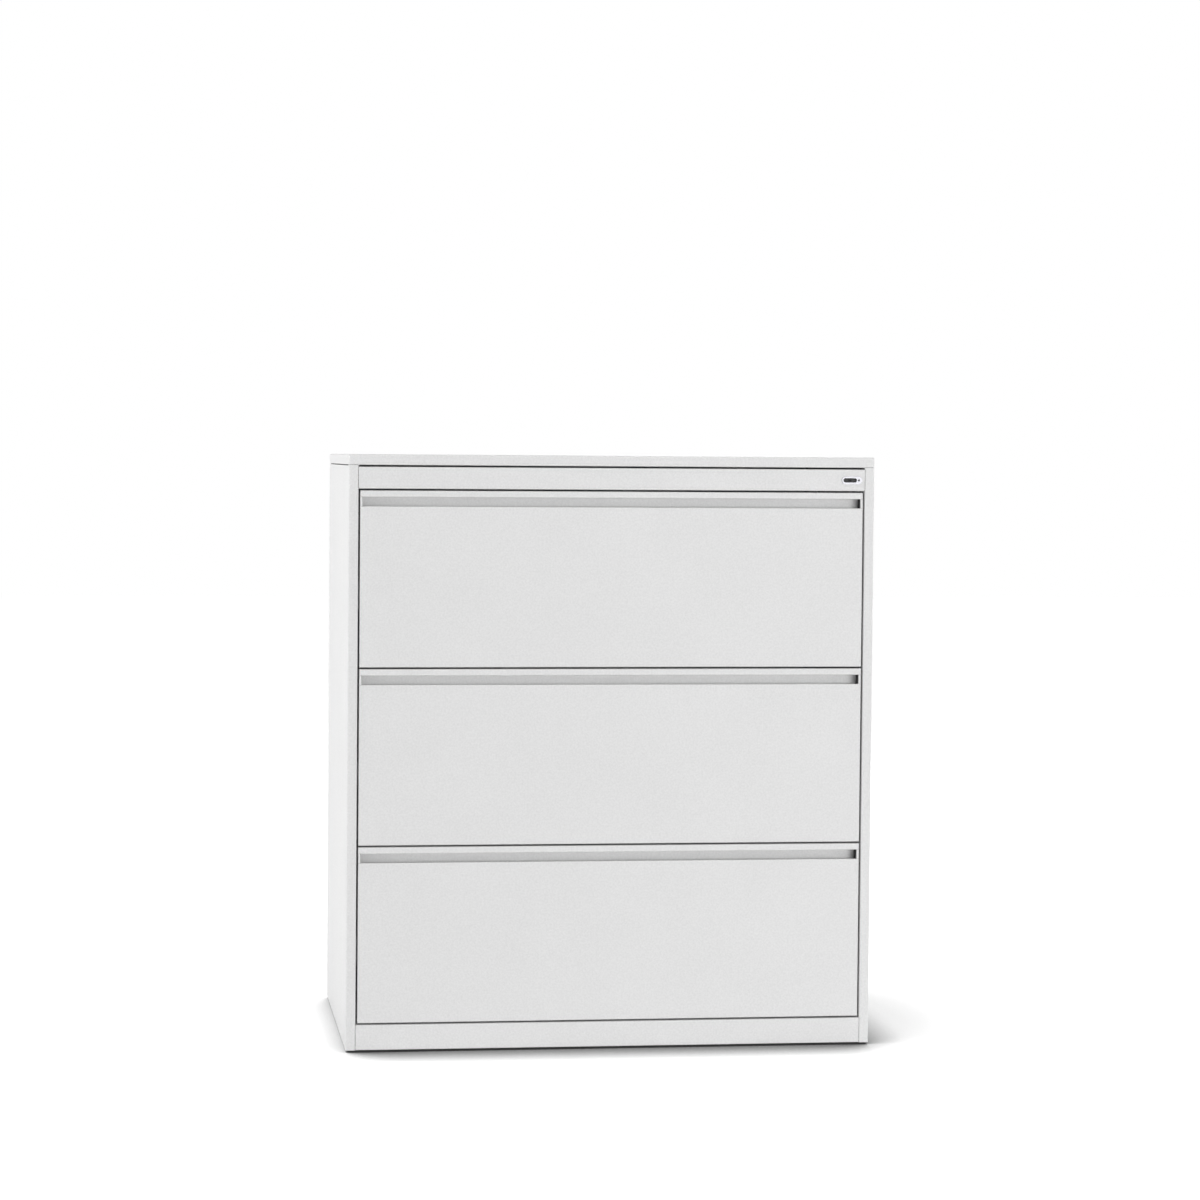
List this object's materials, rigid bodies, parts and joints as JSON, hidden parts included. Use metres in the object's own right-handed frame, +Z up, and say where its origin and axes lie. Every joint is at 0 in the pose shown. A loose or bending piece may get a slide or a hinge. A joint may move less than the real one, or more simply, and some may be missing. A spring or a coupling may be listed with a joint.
{
  "type": "lateral filing cabinet",
  "caption": "Wide, shallow white steel filing cabinet with full-width recessed pulls, telescopic drawer slides, hanging-file rails, a locking bar and levelling glides.",
  "frame": {"origin": "on the floor, under the middle of the cabinet's outer box", "axes": "+Z up, -Y out of the drawer fronts, +X to the right as seen from the front"},
  "size_m": [0.914, 0.4716, 1.0232],
  "materials": {
    "white_powder_coat": "satin white powder coat with a fine orange-peel grain",
    "zinc_plated_steel": "bright zinc plate",
    "white_moulded_plastic": "moulded plastic in the colour of the paint",
    "chromed_lock_face": "satin chrome",
    "dark_zinc_casting": "blackened die casting",
    "black_nylon": "moulded nylon",
    "cast_counterweight": "rough casting"
  },
  "bodies": {
    "cabinet": {"side_panel_left": "white_powder_coat", "side_panel_right": "white_powder_coat", "back_panel": "white_powder_coat", "top_cover": "white_powder_coat", "top_stiffener": "zinc_plated_steel", "top_front_rail": "white_powder_coat", "base_front_rail": "white_powder_coat", "base_pan": "white_powder_coat", "base_channel_left": "zinc_plated_steel", "base_channel_right": "zinc_plated_steel", "counterweight": "cast_counterweight", "front_upright_left": "zinc_plated_steel", "front_upright_right": "zinc_plated_steel", "rear_upright_left": "zinc_plated_steel", "rear_upright_right": "zinc_plated_steel", "glide_studs": "zinc_plated_steel", "glide_feet": "black_nylon", "lock_housing": "chromed_lock_face", "lock_bar_guides": "black_nylon", "slide_outer_bottom_left": "zinc_plated_steel", "slide_outer_bottom_right": "zinc_plated_steel", "slide_outer_middle_left": "zinc_plated_steel", "slide_outer_middle_right": "zinc_plated_steel", "slide_outer_top_left": "zinc_plated_steel", "slide_outer_top_right": "zinc_plated_steel"},
    "slide_bottom_left": {"slide_middle_bottom_left": "zinc_plated_steel"},
    "slide_bottom_right": {"slide_middle_bottom_right": "zinc_plated_steel"},
    "drawer_bottom": {"drawer_front_bottom": "white_powder_coat", "drawer_inner_front_bottom": "white_powder_coat", "pull_end_caps_bottom": "white_moulded_plastic", "drawer_tray_bottom": "white_powder_coat", "drawer_sides_bottom": "white_powder_coat", "hang_rails_bottom": "zinc_plated_steel", "slide_inner_bottom_left": "zinc_plated_steel", "slide_inner_bottom_right": "zinc_plated_steel"},
    "slide_middle_left": {"slide_middle_middle_left": "zinc_plated_steel"},
    "slide_middle_right": {"slide_middle_middle_right": "zinc_plated_steel"},
    "drawer_middle": {"drawer_front_middle": "white_powder_coat", "drawer_inner_front_middle": "white_powder_coat", "pull_end_caps_middle": "white_moulded_plastic", "drawer_tray_middle": "white_powder_coat", "drawer_sides_middle": "white_powder_coat", "hang_rails_middle": "zinc_plated_steel", "slide_inner_middle_left": "zinc_plated_steel", "slide_inner_middle_right": "zinc_plated_steel"},
    "slide_top_left": {"slide_middle_top_left": "zinc_plated_steel"},
    "slide_top_right": {"slide_middle_top_right": "zinc_plated_steel"},
    "drawer_top": {"drawer_front_top": "white_powder_coat", "drawer_inner_front_top": "white_powder_coat", "pull_end_caps_top": "white_moulded_plastic", "drawer_tray_top": "white_powder_coat", "drawer_sides_top": "white_powder_coat", "hang_rails_top": "zinc_plated_steel", "slide_inner_top_left": "zinc_plated_steel", "slide_inner_top_right": "zinc_plated_steel"},
    "lock_plug": {"lock_plug": "dark_zinc_casting", "lock_cam": "zinc_plated_steel"},
    "lock_bar": {"lock_bar": "zinc_plated_steel"}
  },
  "joints": [
    {"name": "drawer_bottom_slide", "type": "slide", "parent": "cabinet", "child": "drawer_bottom", "axis": [0, -1, 0], "range_m": [0, 0.395]},
    {"name": "slide_bottom_left_run", "type": "slide", "parent": "cabinet", "child": "slide_bottom_left", "axis": [0, -1, 0], "range_m": [0, 0.1975]},
    {"name": "slide_bottom_right_run", "type": "slide", "parent": "cabinet", "child": "slide_bottom_right", "axis": [0, -1, 0], "range_m": [0, 0.1975]},
    {"name": "drawer_middle_slide", "type": "slide", "parent": "cabinet", "child": "drawer_middle", "axis": [0, -1, 0], "range_m": [0, 0.395]},
    {"name": "slide_middle_left_run", "type": "slide", "parent": "cabinet", "child": "slide_middle_left", "axis": [0, -1, 0], "range_m": [0, 0.1975]},
    {"name": "slide_middle_right_run", "type": "slide", "parent": "cabinet", "child": "slide_middle_right", "axis": [0, -1, 0], "range_m": [0, 0.1975]},
    {"name": "drawer_top_slide", "type": "slide", "parent": "cabinet", "child": "drawer_top", "axis": [0, -1, 0], "range_m": [0, 0.395]},
    {"name": "slide_top_left_run", "type": "slide", "parent": "cabinet", "child": "slide_top_left", "axis": [0, -1, 0], "range_m": [0, 0.1975]},
    {"name": "slide_top_right_run", "type": "slide", "parent": "cabinet", "child": "slide_top_right", "axis": [0, -1, 0], "range_m": [0, 0.1975]},
    {"name": "lock_bar_lift", "type": "slide", "parent": "cabinet", "child": "lock_bar", "axis": [0, 0, 1], "range_m": [0, 0.01131]},
    {"name": "lock_turn", "type": "hinge", "parent": "cabinet", "child": "lock_plug", "pos_m": [0.4135, -0.2342, 0.9836], "axis": [0, -1, 0], "range_deg": [0, 90]}
  ],
  "couplings": [
    {"joint": "slide_bottom_left_run", "follows": "drawer_bottom_slide", "ratio": 0.5},
    {"joint": "slide_bottom_right_run", "follows": "drawer_bottom_slide", "ratio": 0.5},
    {"joint": "slide_middle_left_run", "follows": "drawer_middle_slide", "ratio": 0.5},
    {"joint": "slide_middle_right_run", "follows": "drawer_middle_slide", "ratio": 0.5},
    {"joint": "slide_top_left_run", "follows": "drawer_top_slide", "ratio": 0.5},
    {"joint": "slide_top_right_run", "follows": "drawer_top_slide", "ratio": 0.5},
    {"joint": "lock_turn", "follows": "lock_bar_lift", "rad_per_m": 138.84}
  ]
}
